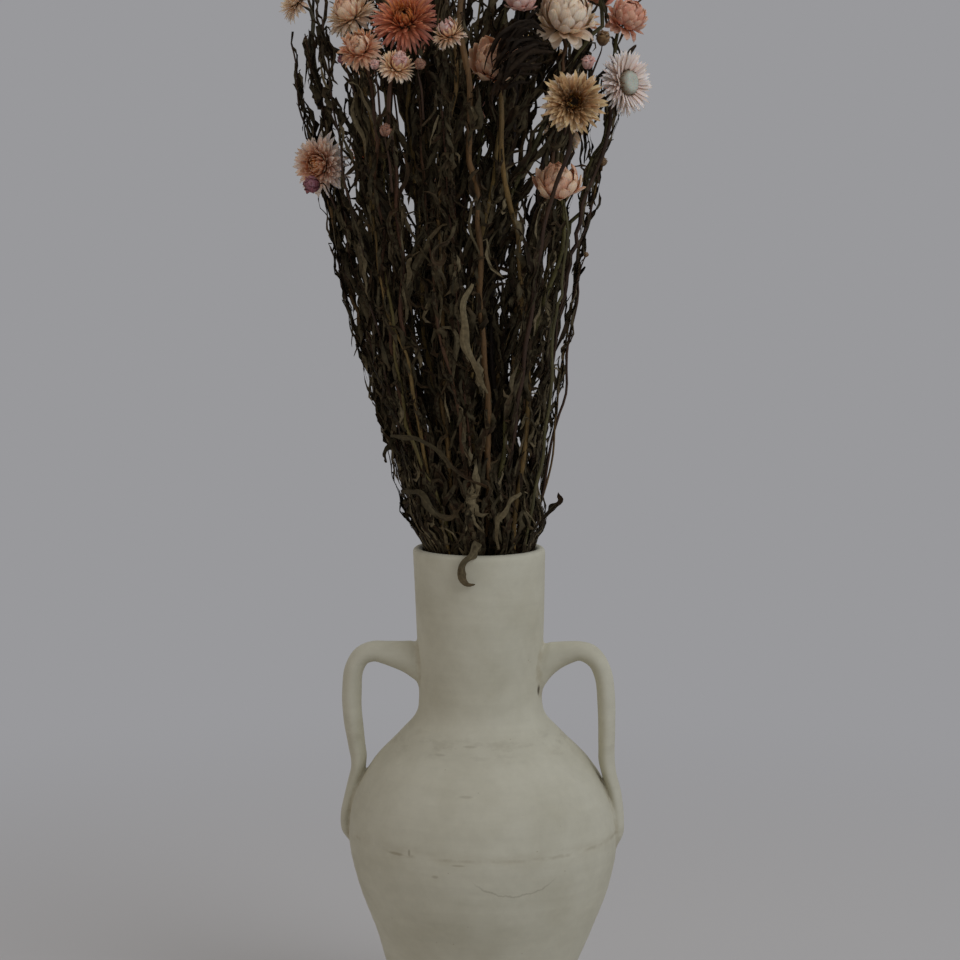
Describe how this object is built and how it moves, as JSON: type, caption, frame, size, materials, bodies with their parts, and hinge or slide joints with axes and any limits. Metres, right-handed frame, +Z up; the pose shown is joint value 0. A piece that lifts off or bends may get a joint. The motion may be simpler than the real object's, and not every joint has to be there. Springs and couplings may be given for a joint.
{
  "type": "dried everlasting in vase",
  "caption": "Bouquet of dried everlasting flowers on long leafy stems, standing in a matte cream clay amphora vase with handles on both sides.",
  "frame": {"origin": "middle of the flat foot of the vase, on the surface it stands on", "axes": "+Z up the vase and the bouquet; X through the two handles; -Y is the side with the low flowers that look forward"},
  "size_m": [0.2719, 0.248, 0.8547],
  "materials": {
    "clay": "matte",
    "dry_stem": "matte",
    "bracts_coral": "matte",
    "bracts_cream": "matte",
    "bracts_orange": "matte",
    "bracts_peach": "matte",
    "bracts_pink": "matte",
    "bracts_gold": "matte",
    "dry_leaf": "matte"
  },
  "bodies": {
    "root": {"vase": "clay", "stem_coral_back": "dry_stem", "flower_coral_back": "bracts_coral", "stem_cream_back_left": "dry_stem", "flower_cream_back_left": "bracts_cream", "stem_cream_far_left": "dry_stem", "flower_cream_far_left": "bracts_cream", "stem_orange_left": "dry_stem", "flower_orange_left": "bracts_orange", "stem_cream_pink_left": "dry_stem", "flower_cream_pink_left": "bracts_cream", "stem_peach_left": "dry_stem", "flower_peach_left": "bracts_peach", "stem_pink_tipped": "dry_stem", "flower_pink_tipped": "bracts_pink", "stem_white_spiky": "dry_stem", "flower_white_spiky": "bracts_cream", "stem_peach_shaded": "dry_stem", "flower_peach_shaded": "bracts_peach", "stem_salmon_cup": "dry_stem", "flower_salmon_cup": "bracts_peach", "stem_gold_brown": "dry_stem", "flower_gold_brown": "bracts_gold", "stem_white_dome": "dry_stem", "flower_white_dome": "bracts_cream", "stem_pale_daisy": "dry_stem", "flower_pale_daisy": "bracts_cream", "stem_coral_dome": "dry_stem", "flower_coral_dome": "bracts_coral", "stem_orange_red": "dry_stem", "flower_orange_red": "bracts_orange", "stem_peach_back_right": "dry_stem", "flower_peach_back_right": "bracts_peach", "stem_gold_back": "dry_stem", "flower_gold_back": "bracts_gold", "stem_pink_crown_back": "dry_stem", "flower_pink_crown_back": "bracts_pink", "stem_cream_crown_left": "dry_stem", "flower_cream_crown_left": "bracts_cream", "stem_orange_pink": "dry_stem", "flower_orange_pink": "bracts_orange", "stem_orange_crown_front": "dry_stem", "flower_orange_crown_front": "bracts_orange", "stem_pink_right": "dry_stem", "flower_pink_right": "bracts_pink", "stem_white_crown_right": "dry_stem", "flower_white_crown_right": "bracts_cream", "stem_coral_crown_right": "dry_stem", "flower_coral_crown_right": "bracts_coral", "stem_gold_crown": "dry_stem", "flower_gold_crown": "bracts_gold", "leaf_over_rim": "dry_leaf", "leaf_long_pale": "dry_leaf", "leaf_ring_curled": "dry_leaf", "leaf_twisted_left": "dry_leaf", "leaf_brown_left": "dry_leaf", "leaf_side_left": "dry_leaf", "leaf_side_right": "dry_leaf", "leaf_pale_right": "dry_leaf"}
  },
  "joints": []
}
